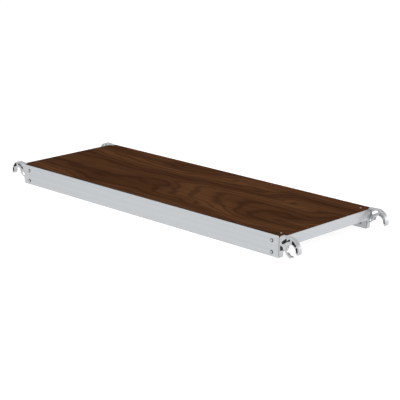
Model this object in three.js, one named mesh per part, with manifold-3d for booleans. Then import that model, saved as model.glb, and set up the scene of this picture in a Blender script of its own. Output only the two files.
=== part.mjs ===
// A scaffold platform: two box stringers, a plywood deck let in between their lips, end beams and
// cross bearers under it, and a cast claw in each stringer end that drops over a ladder-frame rung.
// Two diagonally opposite claws carry a sprung pawl that closes under the rung against wind lift.
//
// Millimetres. X runs along the platform, Y across it, Z up from the stringers' undersides, and the
// origin is midway between the ends and the sides. A claw is drawn in its own axes: u points outwards
// from the stringer end and z up.
import * as THREE from 'three';
import { mergeVertices } from 'three/addons/utils/BufferGeometryUtils.js';
import Module from 'manifold-3d';

const wasm = await Module();
wasm.setup();

// ---------------------------------------------------------------- driving dimensions

const BAY_LENGTH = 1800; // between the centres of the two rungs
const PLATFORM_WIDTH = 600; // over the stringers' outer faces
const CONTACT_GAP = 0.3; // between pieces that touch

const STRINGER_HEIGHT = 94; // to the top of the lip
const STRINGER_WIDTH = 25;
const STRINGER_WALL = 2.5;
const LIP_THICKNESS = 2.5; // the wall that rises beside the deck's edge
const LIP_PROUD = 0.2; // lip above the deck's surface

const DECK_THICKNESS = 9.5;
const DECK_EDGE_GAP = 0.5; // between the deck's edge and a lip

const END_BEAM_WIDTH = 50;
const END_BEAM_HEIGHT = 46; // with its lip
const END_BEAM_OVERHANG = 20; // beyond the stringer ends
const END_BEAM_WALL = 2.5;

const BEARER_COUNT = 3;
const BEARER_SPACING = 430;
const BEARER_WIDTH = 40;
const BEARER_HEIGHT = 30;
const BEARER_WALL = 2;

const SEAT_RADIUS = 26; // for a 50 to 51 mm rung
const SEAT_REACH = 62; // stringer end to rung centre
const CLAW_PROUD = 4; // claw's top above the stringer's lip
const CLAW_INSET = 1.3; // claw's side face in from the stringer's
const CROWN_METAL = 28; // crown radius beyond the seat's
const CROWN_SHIFT = 12; // crown's centre, inwards of the seat's
const CROWN_DROP = 1; // crown's centre, below the seat's
const TIP_RADIUS = 6.3;
const TIP_DROP = 6.5; // centre of the rounded tip, below the seat's
const SHOULDER_RUN = 8; // chamfer where the crown meets the stringer end
const SHOULDER_DROP = 10;
const SHOULDER_SLOPE = 2; // the crown line rises this much from the shoulder to its arc
const HEEL_RISE = 3; // lowest point of the claw
const HEEL_WIDTH = 3; // of the claw's foot, along u
const KNEE_U = 7; // where the heel's outer face leans out to the flank
const KNEE_DROP = 19; // the knee, below the seat's centre
const FLANK_U = 14.5; // where the flank turns up to the seat's edge
const FLANK_DROP = 13; // that turn, below the seat's centre
const SHANK_LENGTH = 70; // inside the stringer

const WINDOW_RIM = 6.5; // metal between the neck window and the crown
const SEAT_RIM = 12; // metal between the seat and the neck window
const WINDOW_LEFT = 15; // inner edge of the neck window
const WINDOW_FOOT = 4; // its lower left corner, above the pivot
const WINDOW_SIDE = 9; // height of its left edge
const WINDOW_TOP_ANGLES = [78, 110]; // of its upper edge about the crown's centre, degrees
const WINDOW_LOW_ANGLES = [96, 124]; // of its lower edge about the seat's centre, degrees
const FLANK_WINDOW_LEFT = 5; // inner edge of the flank window
const FLANK_WINDOW_TOP_RUN = 10; // length of its level top edge
const FLANK_WINDOW_FOOT = 13; // its lower edge, below the seat's centre
const FLANK_WINDOW_SLOPE = 8; // its outer corners, below the top edge and above the lower one
const PIN_RIM = 3; // metal round the pin's hole
const CROWN_CELL_ANGLES = [82, 40]; // of the crown pocket about the seat's centre, degrees
const TIP_CELL_ANGLES = [32, -6]; // of the tip pocket
const CELL_MIDDLE = 12; // from the pockets' inner edge to their middle line
const POCKET_DEPTH = 7; // of the crown and tip pockets, from each side
const POCKET_INNER_RIM = 3;
const POCKET_OUTER_RIM = 4.5;

const SLOT_WIDTH = 14; // clevis slot that the pawl swings in
const SLOT_START = 6.8; // beyond the stringer end, which leaves the heel solid
const SLOT_CLEARANCE = 2; // round the pawl's boss
const PAWL_THICKNESS = 10.8;
const PAWL_BOSS_RADIUS = 9;
const PAWL_BOSS_GAP = 1; // between the boss and the seat's circle
const PAWL_BOSS_ANGLE = 155; // of the pivot about the seat's centre, degrees
const PAWL_SEAT_GAP = 0.7; // between the finger and the seat's circle
const PAWL_FINGER_WIDTH = 10.8;
const PAWL_HEEL_ANGLE = 256; // degrees about the seat's centre
const PAWL_HEEL_RISE = 1; // heel corner beyond the finger's outer arc
const PAWL_TOE_ANGLE = 290;
const PAWL_TOE_THICKNESS = 2.5;
const PAWL_LEG_ANGLE = 244; // where the finger's outer arc ends and the heel begins
const PIN_RADIUS = 3;
const PIN_HEAD_RADIUS = 5;
const PIN_HEAD_HEIGHT = 1.2;
const RUNNING_GAP = 0.25; // pawl on its pin
const SPRING_WIRE = 2.2;
const SPRING_RADIUS = 6.4; // to the middle of the wire

const BOLT_RADIUS = 4;
const BOLT_HEAD_RADIUS = 8;
const BOLT_HEAD_HEIGHT = 2.2;
const BOLT_DOME = [[0.55, 0.86], [0.86, 0.55]]; // the dome's corners, in parts of its radius and height
const BOLT_CHAMFER = 1;
const BOLT_SETBACK = 38; // from the stringer end
const BOLT_LOW = 18; // height of the lower bolt
const BOLT_TOP_MARGIN = 16; // upper bolt, below the top of the stringer's box
const BOLT_TAIL = 2.5; // thread beyond the nut
const NUT_ACROSS_FLATS = 13;
const NUT_HEIGHT = 6.5;

const RIVET_HEAD_TAPER = 0.7; // face of a rivet's head, in parts of its rim
const TAIL_TAPER = 0.8; // the same, for its tail and for the pin's heads
const RIVET_RADIUS = 2.4;
const RIVET_HEAD_RADIUS = 4.6;
const RIVET_HEAD_HEIGHT = 1.4;
const RIVET_TAIL_RADIUS = 3.4;
const RIVET_TAIL_LENGTH = 3;
const END_RIVET_SETBACK = 15; // from the stringer end
const END_RIVET_PITCH = 17;

const SCREW_RADIUS = 2.1;
const SCREW_HEAD_RADIUS = 4.2;
const SCREW_HEAD_HEIGHT = 2.4;
const SCREW_LENGTH = 22;
const SCREW_POINT = 3;
const SCREW_END = 1; // the deck is screwed at the platform's right end
const SCREW_SETBACK = 22; // from the stringer end
const SCREW_INSET = 40; // from the stringer's outer face

const ROUND_SIDES = 12; // bolts, pins and their holes
const SMALL_SIDES = 8; // rivets, screws and their holes
const BOSS_SIDES = 20;
const CURVE_STEPS = 7; // half the chords in one arc of an outline
const OVERLAP = 1; // of solids that are joined or cut, past each other's faces

// ---------------------------------------------------------------- derived dimensions

const STRINGER_LENGTH = BAY_LENGTH - 2 * SEAT_REACH;
const STRINGER_END = STRINGER_LENGTH / 2;
const SIDE = PLATFORM_WIDTH / 2;
const INNER_SIDE = SIDE - STRINGER_WIDTH; // stringer's inner face
const STRINGER_MIDDLE = SIDE - STRINGER_WIDTH / 2;
const DECK_TOP = STRINGER_HEIGHT - LIP_PROUD;
const DECK_BOTTOM = DECK_TOP - DECK_THICKNESS;
const LEDGE = DECK_BOTTOM - CONTACT_GAP; // top of the stringer's box, the beams and the bearers
const BEAM_FACE = STRINGER_END + END_BEAM_OVERHANG;
const SPAN_LENGTH = 2 * (INNER_SIDE - CONTACT_GAP); // end beams and bearers, stringer to stringer

const CLAW_THICKNESS = STRINGER_WIDTH - 2 * CLAW_INSET;
const SHANK_THICKNESS = STRINGER_WIDTH - 2 * (STRINGER_WALL + CONTACT_GAP);
const SHANK_BOTTOM = STRINGER_WALL + CONTACT_GAP;
const SHANK_TOP = LEDGE - STRINGER_WALL - CONTACT_GAP;
const CLAW_TOP = STRINGER_HEIGHT + CLAW_PROUD;
const CROWN_RADIUS = SEAT_RADIUS + CROWN_METAL;
const SEAT_HEIGHT = CLAW_TOP - CROWN_RADIUS + CROWN_DROP;
const CROWN_U = SEAT_REACH - CROWN_SHIFT;
const CROWN_Z = SEAT_HEIGHT - CROWN_DROP;
const PIVOT_DISTANCE = SEAT_RADIUS + PAWL_BOSS_GAP + PAWL_BOSS_RADIUS;
const PIVOT_U = SEAT_REACH + PIVOT_DISTANCE * Math.cos(radians(PAWL_BOSS_ANGLE));
const PIVOT_Z = SEAT_HEIGHT + PIVOT_DISTANCE * Math.sin(radians(PAWL_BOSS_ANGLE));
const SLOT_HALF = SLOT_WIDTH / 2;
const BEARER_RIVET_HEIGHT = LEDGE - BEARER_HEIGHT / 2;
const PAWL_OFFSET = SLOT_HALF - CONTACT_GAP - PAWL_THICKNESS / 2; // towards the deck
const SPRING_OFFSET = -(SLOT_HALF - CONTACT_GAP - SPRING_WIRE / 2); // towards the outside

// ---------------------------------------------------------------- materials

const FINISHES = {
  extrusion: { color: 0xc6cbce, metalness: 0.85, roughness: 0.42 },
  casting: { color: 0xbfc4c6, metalness: 0.8, roughness: 0.55 },
  plywood: { color: 0x4c2e1e, metalness: 0, roughness: 0.6 },
  zinc: { color: 0xb4b8ba, metalness: 0.9, roughness: 0.35 },
  spring: { color: 0x8c9092, metalness: 0.9, roughness: 0.4 },
};

// ---------------------------------------------------------------- solid helpers

function radians(degrees) {
  return (degrees * Math.PI) / 180;
}

function toSolid(geometry) {
  const bare = geometry.clone();
  bare.deleteAttribute('normal');
  bare.deleteAttribute('uv');
  const merged = mergeVertices(bare, 1e-4);
  const vertProperties = new Float32Array(merged.attributes.position.array);
  const triVerts = new Uint32Array(merged.index.array);
  return new wasm.Manifold(new wasm.Mesh({ numProp: 3, vertProperties, triVerts }));
}

function toGeometry(solid) {
  const { vertProperties, triVerts } = solid.getMesh();
  const indexed = new THREE.BufferGeometry();
  indexed.setAttribute('position', new THREE.BufferAttribute(new Float32Array(vertProperties), 3));
  indexed.setIndex(new THREE.BufferAttribute(new Uint32Array(triVerts), 1));
  const geometry = indexed.toNonIndexed();
  geometry.computeVertexNormals();
  return geometry;
}

// Adds every solid of the second list to the first geometry, then cuts away those of the third.
function combine(base, added, cuts) {
  let solid = toSolid(base);
  for (const piece of added) {
    solid = solid.add(toSolid(piece));
  }
  for (const cut of cuts) {
    solid = solid.subtract(toSolid(cut));
  }
  return toGeometry(solid);
}

function block(lengthX, lengthY, lengthZ, x, y, z) {
  return new THREE.BoxGeometry(lengthX, lengthY, lengthZ).translate(x, y, z);
}

// A block between two heights.
function slab(lengthX, lengthY, low, high, x = 0, y = 0) {
  return block(lengthX, lengthY, high - low, x, y, (low + high) / 2);
}

// A rod along Y, centred on the point given.
function rodAcross(radius, length, x, y, z, sides = ROUND_SIDES) {
  return new THREE.CylinderGeometry(radius, radius, length, sides).translate(x, y, z);
}

// A rod along Z, centred on the point given.
function rodUpright(radius, length, x, y, z, sides = SMALL_SIDES) {
  const rod = new THREE.CylinderGeometry(radius, radius, length, sides);
  return rod.rotateX(Math.PI / 2).translate(x, y, z);
}

// A shape drawn as (u, z) and given its thickness along Y, centred on the height y.
function plate(shape, thickness, y = 0) {
  const geometry = new THREE.ExtrudeGeometry(shape, {
    depth: thickness,
    bevelEnabled: false,
    curveSegments: CURVE_STEPS,
  });
  return geometry.rotateX(Math.PI / 2).translate(0, y + thickness / 2, 0);
}

function polygon(points) {
  return new THREE.Shape(points.map(([u, z]) => new THREE.Vector2(u, z)));
}

// A point at a distance and an angle in degrees from the seat's centre.
function aroundSeat(radius, degrees) {
  const angle = radians(degrees);
  return [SEAT_REACH + radius * Math.cos(angle), SEAT_HEIGHT + radius * Math.sin(angle)];
}

// ---------------------------------------------------------------- frame

// Heights of the two bolts in a stringer end.
function boltHeights() {
  return [BOLT_LOW, LEDGE - BOLT_TOP_MARGIN];
}

// Heights of the two rivets in an end beam's tab, either side of the middle of the tab.
function endRivetHeights() {
  const middle = (LEDGE + STRINGER_HEIGHT - END_BEAM_HEIGHT) / 2;
  return [middle - END_RIVET_PITCH / 2, middle + END_RIVET_PITCH / 2];
}

function bearerPositions() {
  const middle = (BEARER_COUNT - 1) / 2;
  return Array.from({ length: BEARER_COUNT }, (_, index) => (index - middle) * BEARER_SPACING);
}

// The front stringer: a box with a lip, drilled for the claw bolts, and for rivets in its inner wall.
function stringerGeometry() {
  const lipY = -(SIDE - LIP_THICKNESS / 2);
  const box = slab(STRINGER_LENGTH, STRINGER_WIDTH, 0, LEDGE, 0, -STRINGER_MIDDLE);
  const lip = slab(STRINGER_LENGTH, LIP_THICKNESS, LEDGE - STRINGER_WALL, STRINGER_HEIGHT, 0, lipY);
  const hollow = slab(
    STRINGER_LENGTH + 2 * OVERLAP,
    STRINGER_WIDTH - 2 * STRINGER_WALL,
    STRINGER_WALL,
    LEDGE - STRINGER_WALL,
    0,
    -STRINGER_MIDDLE,
  );
  const cuts = [hollow];
  const innerWallY = -(INNER_SIDE + STRINGER_WALL / 2);
  for (const end of [-1, 1]) {
    for (const z of boltHeights()) {
      const x = end * (STRINGER_END - BOLT_SETBACK);
      cuts.push(rodAcross(BOLT_RADIUS + CONTACT_GAP, STRINGER_WIDTH + 2 * OVERLAP, x, -STRINGER_MIDDLE, z));
    }
    for (const z of endRivetHeights()) {
      const x = end * (STRINGER_END - END_RIVET_SETBACK);
      cuts.push(rivetHole(STRINGER_WALL + OVERLAP, x, innerWallY, z));
    }
  }
  for (const x of bearerPositions()) {
    cuts.push(rivetHole(STRINGER_WALL + OVERLAP, x, innerWallY, BEARER_RIVET_HEIGHT));
  }
  return combine(box, [lip], cuts);
}

function rivetHole(depth, x, y, z) {
  return rodAcross(RIVET_RADIUS + CONTACT_GAP, depth, x, y, z, SMALL_SIDES);
}

// An end beam, drawn at the right: a channel open below, with closed ends to rivet and a lip along its
// outer edge. The end given says which beam it is for: the one at the deck's screwed end has screw holes.
function endBeamGeometry(end) {
  const bottom = STRINGER_HEIGHT - END_BEAM_HEIGHT;
  const x = BEAM_FACE - END_BEAM_WIDTH / 2;
  const lipX = BEAM_FACE - LIP_THICKNESS / 2;
  const hollow = slab(
    END_BEAM_WIDTH - 2 * END_BEAM_WALL,
    SPAN_LENGTH - 2 * END_BEAM_WALL,
    bottom - OVERLAP,
    LEDGE - END_BEAM_WALL,
    x,
  );
  const cuts = [hollow];
  for (const side of [-1, 1]) {
    const tabY = side * (SPAN_LENGTH - END_BEAM_WALL) / 2;
    for (const z of endRivetHeights()) {
      cuts.push(rivetHole(END_BEAM_WALL + OVERLAP, STRINGER_END - END_RIVET_SETBACK, tabY, z));
    }
    if (end === SCREW_END) {
      const screwX = STRINGER_END - SCREW_SETBACK;
      const screwY = side * (SIDE - SCREW_INSET);
      cuts.push(rodUpright(SCREW_RADIUS + CONTACT_GAP, 2 * (END_BEAM_WALL + OVERLAP), screwX, screwY, LEDGE));
    }
  }
  const channel = slab(END_BEAM_WIDTH, SPAN_LENGTH, bottom, LEDGE, x);
  const lip = slab(LIP_THICKNESS, SPAN_LENGTH, LEDGE - END_BEAM_WALL, STRINGER_HEIGHT, lipX);
  return combine(channel, [lip], cuts);
}

// A cross bearer: a channel open below, with closed ends to rivet.
function bearerGeometry() {
  const hollow = slab(
    BEARER_WIDTH - 2 * BEARER_WALL,
    SPAN_LENGTH - 2 * BEARER_WALL,
    LEDGE - BEARER_HEIGHT - OVERLAP,
    LEDGE - BEARER_WALL,
  );
  const cuts = [hollow];
  for (const side of [-1, 1]) {
    const tabY = side * (SPAN_LENGTH - BEARER_WALL) / 2;
    cuts.push(rivetHole(BEARER_WALL + OVERLAP, 0, tabY, BEARER_RIVET_HEIGHT));
  }
  return combine(slab(BEARER_WIDTH, SPAN_LENGTH, LEDGE - BEARER_HEIGHT, LEDGE), [], cuts);
}

// The deck: a panel between the lips, notched at each corner for the claw's neck and countersunk
// The deck panel: a notch at each corner clears the stringer end and its claw, and the right corners are
// countersunk for a screw into the end beam.
function deckGeometry() {
  const halfLength = BEAM_FACE - LIP_THICKNESS - DECK_EDGE_GAP;
  const halfWidth = SIDE - LIP_THICKNESS - DECK_EDGE_GAP;
  const notch = STRINGER_END - CONTACT_GAP;
  const neck = INNER_SIDE - CONTACT_GAP;
  const cuts = [];
  for (const end of [-1, 1]) {
    for (const side of [-1, 1]) {
      const x = end * (STRINGER_END - SCREW_SETBACK);
      const y = side * (SIDE - SCREW_INSET);
      const outX = end * (notch + halfLength + OVERLAP) / 2;
      const outY = side * (neck + halfWidth + OVERLAP) / 2;
      const cutX = halfLength + OVERLAP - notch;
      const cutY = halfWidth + OVERLAP - neck;
      cuts.push(slab(cutX, cutY, DECK_BOTTOM - OVERLAP, DECK_TOP + OVERLAP, outX, outY));
      if (end === SCREW_END) {
        cuts.push(rodUpright(SCREW_RADIUS + CONTACT_GAP, 2 * (DECK_THICKNESS + OVERLAP), x, y, DECK_BOTTOM));
        cuts.push(countersink().translate(x, y, DECK_TOP));
      }
    }
  }
  return combine(slab(2 * halfLength, 2 * halfWidth, DECK_BOTTOM, DECK_TOP), [], cuts);
}

// The cone that a screw head sinks into, with its rim at z = 0.
function countersink() {
  const rim = SCREW_HEAD_RADIUS + CONTACT_GAP;
  const bottom = -(SCREW_HEAD_HEIGHT + CONTACT_GAP);
  const profile = [[0, bottom], [SCREW_RADIUS + CONTACT_GAP, bottom], [rim, 0], [rim, 1], [0, 1]];
  return turned(profile, SMALL_SIDES).rotateX(Math.PI / 2);
}

// ---------------------------------------------------------------- claw

// The claw outside the stringer: up the stringer end, over the crown, round the tip, back through
// the seat and down the flank to the heel.
function clawShape() {
  const shape = new THREE.Shape();
  const tipZ = SEAT_HEIGHT - TIP_DROP;
  const crownEnd = Math.asin((tipZ - CROWN_Z) / CROWN_RADIUS);
  const tipU = CROWN_U + CROWN_RADIUS * Math.cos(crownEnd) - TIP_RADIUS;
  shape.moveTo(CONTACT_GAP, HEEL_RISE);
  shape.lineTo(CONTACT_GAP, CLAW_TOP - SHOULDER_SLOPE - SHOULDER_DROP);
  shape.lineTo(SHOULDER_RUN, CLAW_TOP - SHOULDER_SLOPE);
  shape.absarc(CROWN_U, CROWN_Z, CROWN_RADIUS, Math.PI / 2, crownEnd, true);
  shape.absarc(tipU, tipZ, TIP_RADIUS, 0, -Math.PI, true);
  shape.absarc(SEAT_REACH, SEAT_HEIGHT, SEAT_RADIUS, 0, Math.PI, false);
  shape.lineTo(FLANK_U, SEAT_HEIGHT - FLANK_DROP);
  shape.lineTo(KNEE_U, SEAT_HEIGHT - KNEE_DROP);
  shape.lineTo(CONTACT_GAP + HEEL_WIDTH, HEEL_RISE);
  return shape;
}

// The window in the neck: a slanting band between the crown and the seat's rim. The half that is kept
// above its diagonal is the part that goes through where a web ties the pivot to the crown.
function neckWindow(aboveDiagonal) {
  const [topStart, topEnd] = WINDOW_TOP_ANGLES.map(radians);
  const [lowStart, lowEnd] = WINDOW_LOW_ANGLES.map(radians);
  const foot = PIVOT_Z + WINDOW_FOOT;
  const shape = new THREE.Shape();
  shape.moveTo(WINDOW_LEFT, foot);
  shape.lineTo(WINDOW_LEFT, foot + WINDOW_SIDE);
  const lastAngle = aboveDiagonal ? Math.PI / 2 : topStart;
  shape.absarc(CROWN_U, CROWN_Z, CROWN_RADIUS - WINDOW_RIM, topEnd, lastAngle, true);
  if (!aboveDiagonal) {
    shape.absarc(SEAT_REACH, SEAT_HEIGHT, SEAT_RADIUS + SEAT_RIM, lowStart, lowEnd, false);
    shape.lineTo(...aroundSeat(PIVOT_DISTANCE + PAWL_BOSS_RADIUS, PAWL_BOSS_ANGLE));
  }
  return shape;
}

// The window in the flank, between the stringer end and the pivot.
function flankWindow() {
  const left = FLANK_WINDOW_LEFT;
  const right = PIVOT_U - PIN_RADIUS - PIN_RIM;
  const top = PIVOT_Z - PIN_RADIUS - PIN_RIM;
  const bottom = SEAT_HEIGHT - FLANK_WINDOW_FOOT;
  return polygon([
    [left, bottom],
    [left, top],
    [left + FLANK_WINDOW_TOP_RUN, top],
    [right, top - FLANK_WINDOW_SLOPE],
    [right, bottom + FLANK_WINDOW_SLOPE],
  ]);
}

// A blind pocket that follows the crown between two angles about the seat's centre.
function crownPocket([startDegrees, endDegrees]) {
  const inner = SEAT_RADIUS + POCKET_INNER_RIM;
  const outer = CROWN_RADIUS - POCKET_OUTER_RIM;
  const shape = new THREE.Shape();
  shape.absarc(SEAT_REACH, SEAT_HEIGHT, inner, radians(startDegrees), radians(endDegrees), true);
  const towards = (degrees) => {
    const [u, z] = aroundSeat(inner + CELL_MIDDLE, degrees);
    return Math.atan2(z - CROWN_Z, u - CROWN_U);
  };
  shape.absarc(CROWN_U, CROWN_Z, outer, towards(endDegrees), towards(startDegrees), false);
  return shape;
}

// The shank that fills the stringer end.
function shankGeometry() {
  const length = SHANK_LENGTH + OVERLAP;
  const middle = (OVERLAP + CONTACT_GAP - SHANK_LENGTH) / 2;
  return slab(length, SHANK_THICKNESS, SHANK_BOTTOM, SHANK_TOP, middle);
}

// A claw, with the stringer's mid-plane at y = 0. Its slot and pockets are the same from both sides.
// A claw that carries a pawl keeps a web across the lower part of its neck window.
function clawGeometry(pawl) {
  const face = CLAW_THICKNESS / 2;
  const slotTop = PIVOT_Z + PAWL_BOSS_RADIUS + SLOT_CLEARANCE;
  const slotEnd = PIVOT_U + PAWL_BOSS_RADIUS + SLOT_CLEARANCE;
  const slotLength = slotEnd - SLOT_START;
  const through = CLAW_THICKNESS + 2 * OVERLAP;
  const cuts = [
    plate(neckWindow(pawl), through),
    plate(flankWindow(), through),
    slab(slotLength, SLOT_WIDTH, -OVERLAP, slotTop, SLOT_START + slotLength / 2),
    rodAcross(PIN_RADIUS + CONTACT_GAP, through, PIVOT_U, 0, PIVOT_Z),
  ];
  const pockets = [crownPocket(CROWN_CELL_ANGLES), crownPocket(TIP_CELL_ANGLES)];
  if (pawl) {
    pockets.push(neckWindow(false));
  }
  for (const side of [-1, 1]) {
    for (const pocket of pockets) {
      cuts.push(plate(pocket, 2 * POCKET_DEPTH, side * face));
    }
    for (const z of endRivetHeights()) {
      const reach = RIVET_TAIL_RADIUS + CONTACT_GAP;
      const depth = 2 * (RIVET_TAIL_LENGTH + OVERLAP);
      const y = side * SHANK_THICKNESS / 2;
      cuts.push(rodAcross(reach, depth, -END_RIVET_SETBACK, y, z, SMALL_SIDES));
    }
  }
  for (const z of boltHeights()) {
    cuts.push(rodAcross(BOLT_RADIUS + CONTACT_GAP, STRINGER_WIDTH, -BOLT_SETBACK, 0, z));
  }
  return combine(plate(clawShape(), CLAW_THICKNESS), [shankGeometry()], cuts);
}

// The pawl: a boss on the pivot and a finger that follows the rung round to a toe under it.
function pawlGeometry() {
  const inner = SEAT_RADIUS + PAWL_SEAT_GAP;
  const outer = inner + PAWL_FINGER_WIDTH;
  const [heelU, heelZ] = aroundSeat(outer + PAWL_HEEL_RISE, PAWL_HEEL_ANGLE);
  const [toeU, toeZ] = aroundSeat(inner + PAWL_TOE_THICKNESS, PAWL_TOE_ANGLE);
  const finger = new THREE.Shape();
  const start = radians(PAWL_BOSS_ANGLE);
  const leg = radians(PAWL_LEG_ANGLE);
  finger.absarc(SEAT_REACH, SEAT_HEIGHT, inner, start, radians(PAWL_TOE_ANGLE), false);
  finger.lineTo(toeU, toeZ);
  finger.lineTo(heelU, heelZ);
  finger.absarc(SEAT_REACH, SEAT_HEIGHT, outer, leg, start, true);
  const boss = rodAcross(PAWL_BOSS_RADIUS, PAWL_THICKNESS, PIVOT_U, PAWL_OFFSET, PIVOT_Z, BOSS_SIDES);
  const bore = rodAcross(PIN_RADIUS + RUNNING_GAP, CLAW_THICKNESS + 2 * OVERLAP, PIVOT_U, 0, PIVOT_Z);
  return combine(plate(finger, PAWL_THICKNESS, PAWL_OFFSET), [boss], [bore]);
}

// ---------------------------------------------------------------- fasteners

// A profile of (radius, height) pairs turned about Y.
function turned(profile, sides) {
  return new THREE.LatheGeometry(profile.map(([r, y]) => new THREE.Vector2(r, y)), sides);
}

// A domed bolt through the stringer and the shank, its head's underside at y = 0 and its shank
// running to +Y.
function boltGeometry() {
  const under = -CONTACT_GAP;
  const length = STRINGER_WIDTH + CONTACT_GAP + NUT_HEIGHT + BOLT_TAIL;
  return turned([
    [0, under - BOLT_HEAD_HEIGHT],
    ...BOLT_DOME.map(([out, up]) => [BOLT_HEAD_RADIUS * out, under - BOLT_HEAD_HEIGHT * up]),
    [BOLT_HEAD_RADIUS, under],
    [BOLT_RADIUS, under],
    [BOLT_RADIUS, length - BOLT_CHAMFER],
    [BOLT_RADIUS - BOLT_CHAMFER, length],
    [0, length],
  ], ROUND_SIDES);
}

function nutGeometry() {
  const shape = new THREE.Shape();
  const corner = NUT_ACROSS_FLATS / 2 / Math.cos(Math.PI / 6);
  for (let index = 0; index < 6; index += 1) {
    const angle = (index * Math.PI) / 3;
    shape.lineTo(corner * Math.cos(angle), corner * Math.sin(angle));
  }
  const bore = rodAcross(BOLT_RADIUS + CONTACT_GAP, 2 * NUT_HEIGHT, 0, 0, 0);
  return combine(plate(shape, NUT_HEIGHT), [], [bore]);
}

// A blind rivet, its head's underside at y = 0, for a joint as thick as the grip given.
function rivetGeometry(grip) {
  const under = -CONTACT_GAP;
  const tail = grip + CONTACT_GAP;
  return turned([
    [0, under - RIVET_HEAD_HEIGHT],
    [RIVET_HEAD_RADIUS * RIVET_HEAD_TAPER, under - RIVET_HEAD_HEIGHT],
    [RIVET_HEAD_RADIUS, under],
    [RIVET_RADIUS, under],
    [RIVET_RADIUS, tail],
    [RIVET_TAIL_RADIUS, tail],
    [RIVET_TAIL_RADIUS * TAIL_TAPER, tail + RIVET_TAIL_LENGTH],
    [0, tail + RIVET_TAIL_LENGTH],
  ], SMALL_SIDES);
}

// A countersunk screw, its head flush at z = 0.
function screwGeometry() {
  const screw = turned([
    [0, -SCREW_LENGTH],
    [SCREW_RADIUS, SCREW_POINT - SCREW_LENGTH],
    [SCREW_RADIUS, -SCREW_HEAD_HEIGHT],
    [SCREW_HEAD_RADIUS, -CONTACT_GAP],
    [SCREW_HEAD_RADIUS, 0],
    [0, 0],
  ], SMALL_SIDES);
  return screw.rotateX(Math.PI / 2);
}

// The pawl's pin, with a rivet head beyond each side of the claw.
function pinGeometry() {
  const face = CLAW_THICKNESS / 2 + CONTACT_GAP;
  const end = face + PIN_HEAD_HEIGHT;
  return turned([
    [0, -end],
    [PIN_HEAD_RADIUS * TAIL_TAPER, -end],
    [PIN_HEAD_RADIUS, -face],
    [PIN_RADIUS, -face],
    [PIN_RADIUS, face],
    [PIN_HEAD_RADIUS, face],
    [PIN_HEAD_RADIUS * TAIL_TAPER, end],
    [0, end],
  ], ROUND_SIDES);
}

// The coil of the spring that closes the pawl, round the pin.
function springGeometry() {
  const half = SPRING_WIRE / 2;
  const low = SPRING_RADIUS - half;
  const high = SPRING_RADIUS + half;
  return turned([[low, -half], [high, -half], [high, half], [low, half], [low, -half]], ROUND_SIDES);
}

// ---------------------------------------------------------------- assembly

const group = new THREE.Group();

function addMesh(parent, name, geometry, finish) {
  const mesh = new THREE.Mesh(geometry, new THREE.MeshStandardMaterial(FINISHES[finish]));
  mesh.name = name;
  parent.add(mesh);
  return mesh;
}

// A corner's own axes: u outwards along the platform and y = 0 on the stringer's mid-plane.
// Opposite corners are the same, turned half round.
function cornerGroup(end) {
  const corner = new THREE.Group();
  corner.rotation.z = end > 0 ? 0 : Math.PI;
  group.add(corner);
  return corner;
}

const CORNERS = [
  { end: 1, side: -1, label: 'front_right', pawl: true },
  { end: 1, side: 1, label: 'back_right', pawl: false },
  { end: -1, side: -1, label: 'front_left', pawl: false },
  { end: -1, side: 1, label: 'back_left', pawl: true },
];

function addFrame() {
  addMesh(group, 'deck_panel', deckGeometry(), 'plywood');
  addMesh(group, 'stringer_front', stringerGeometry(), 'extrusion');
  addMesh(group, 'stringer_back', stringerGeometry(), 'extrusion').rotation.z = Math.PI;
  addMesh(group, 'end_beam_right', endBeamGeometry(1), 'extrusion');
  addMesh(group, 'end_beam_left', endBeamGeometry(-1), 'extrusion').rotation.z = Math.PI;
  bearerPositions().forEach((x, index) => {
    const name = `cross_bearer_${index + 1}`;
    addMesh(group, name, bearerGeometry(), 'extrusion').position.x = x;
    for (const side of [-1, 1]) {
      const label = side < 0 ? 'front' : 'back';
      const rivet = addMesh(group, `bearer_rivet_${index + 1}_${label}`,
        rivetGeometry(STRINGER_WALL + CONTACT_GAP + BEARER_WALL), 'zinc');
      rivet.rotation.z = side < 0 ? Math.PI : 0;
      rivet.position.set(x, side * (SPAN_LENGTH / 2 - BEARER_WALL), BEARER_RIVET_HEIGHT);
    }
  });
}

// One corner: the claw, its bolts and nuts, the end beam's rivets and, at the right end, a deck screw.
function addCorner({ end, side, label, pawl }) {
  const corner = cornerGroup(end);
  const outside = side * end; // the stringer's side in the corner's own axes
  const middleY = outside * STRINGER_MIDDLE;
  addMesh(corner, `claw_${label}`, clawGeometry(pawl), 'casting').position.set(STRINGER_END, middleY, 0);
  boltHeights().forEach((z, index) => {
    const place = index === 0 ? 'lower' : 'upper';
    const x = STRINGER_END - BOLT_SETBACK;
    const bolt = addMesh(corner, `claw_bolt_${place}_${label}`, boltGeometry(), 'zinc');
    bolt.rotation.z = outside < 0 ? 0 : Math.PI;
    bolt.position.set(x, outside * SIDE, z);
    const nut = addMesh(corner, `claw_nut_${place}_${label}`, nutGeometry(), 'zinc');
    nut.position.set(x, outside * (INNER_SIDE - CONTACT_GAP - NUT_HEIGHT / 2), z);
  });
  endRivetHeights().forEach((z, index) => {
    const place = index === 0 ? 'lower' : 'upper';
    const grip = END_BEAM_WALL + CONTACT_GAP + STRINGER_WALL;
    const rivet = addMesh(corner, `beam_rivet_${place}_${label}`, rivetGeometry(grip), 'zinc');
    rivet.rotation.z = outside < 0 ? Math.PI : 0;
    const y = outside * (SPAN_LENGTH / 2 - END_BEAM_WALL);
    rivet.position.set(STRINGER_END - END_RIVET_SETBACK, y, z);
  });
  if (end === SCREW_END) {
    const screw = addMesh(corner, `deck_screw_${label}`, screwGeometry(), 'zinc');
    screw.position.set(STRINGER_END - SCREW_SETBACK, outside * (SIDE - SCREW_INSET), DECK_TOP);
  }
  if (pawl) {
    addPawl(corner, label, middleY);
  }
}

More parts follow.
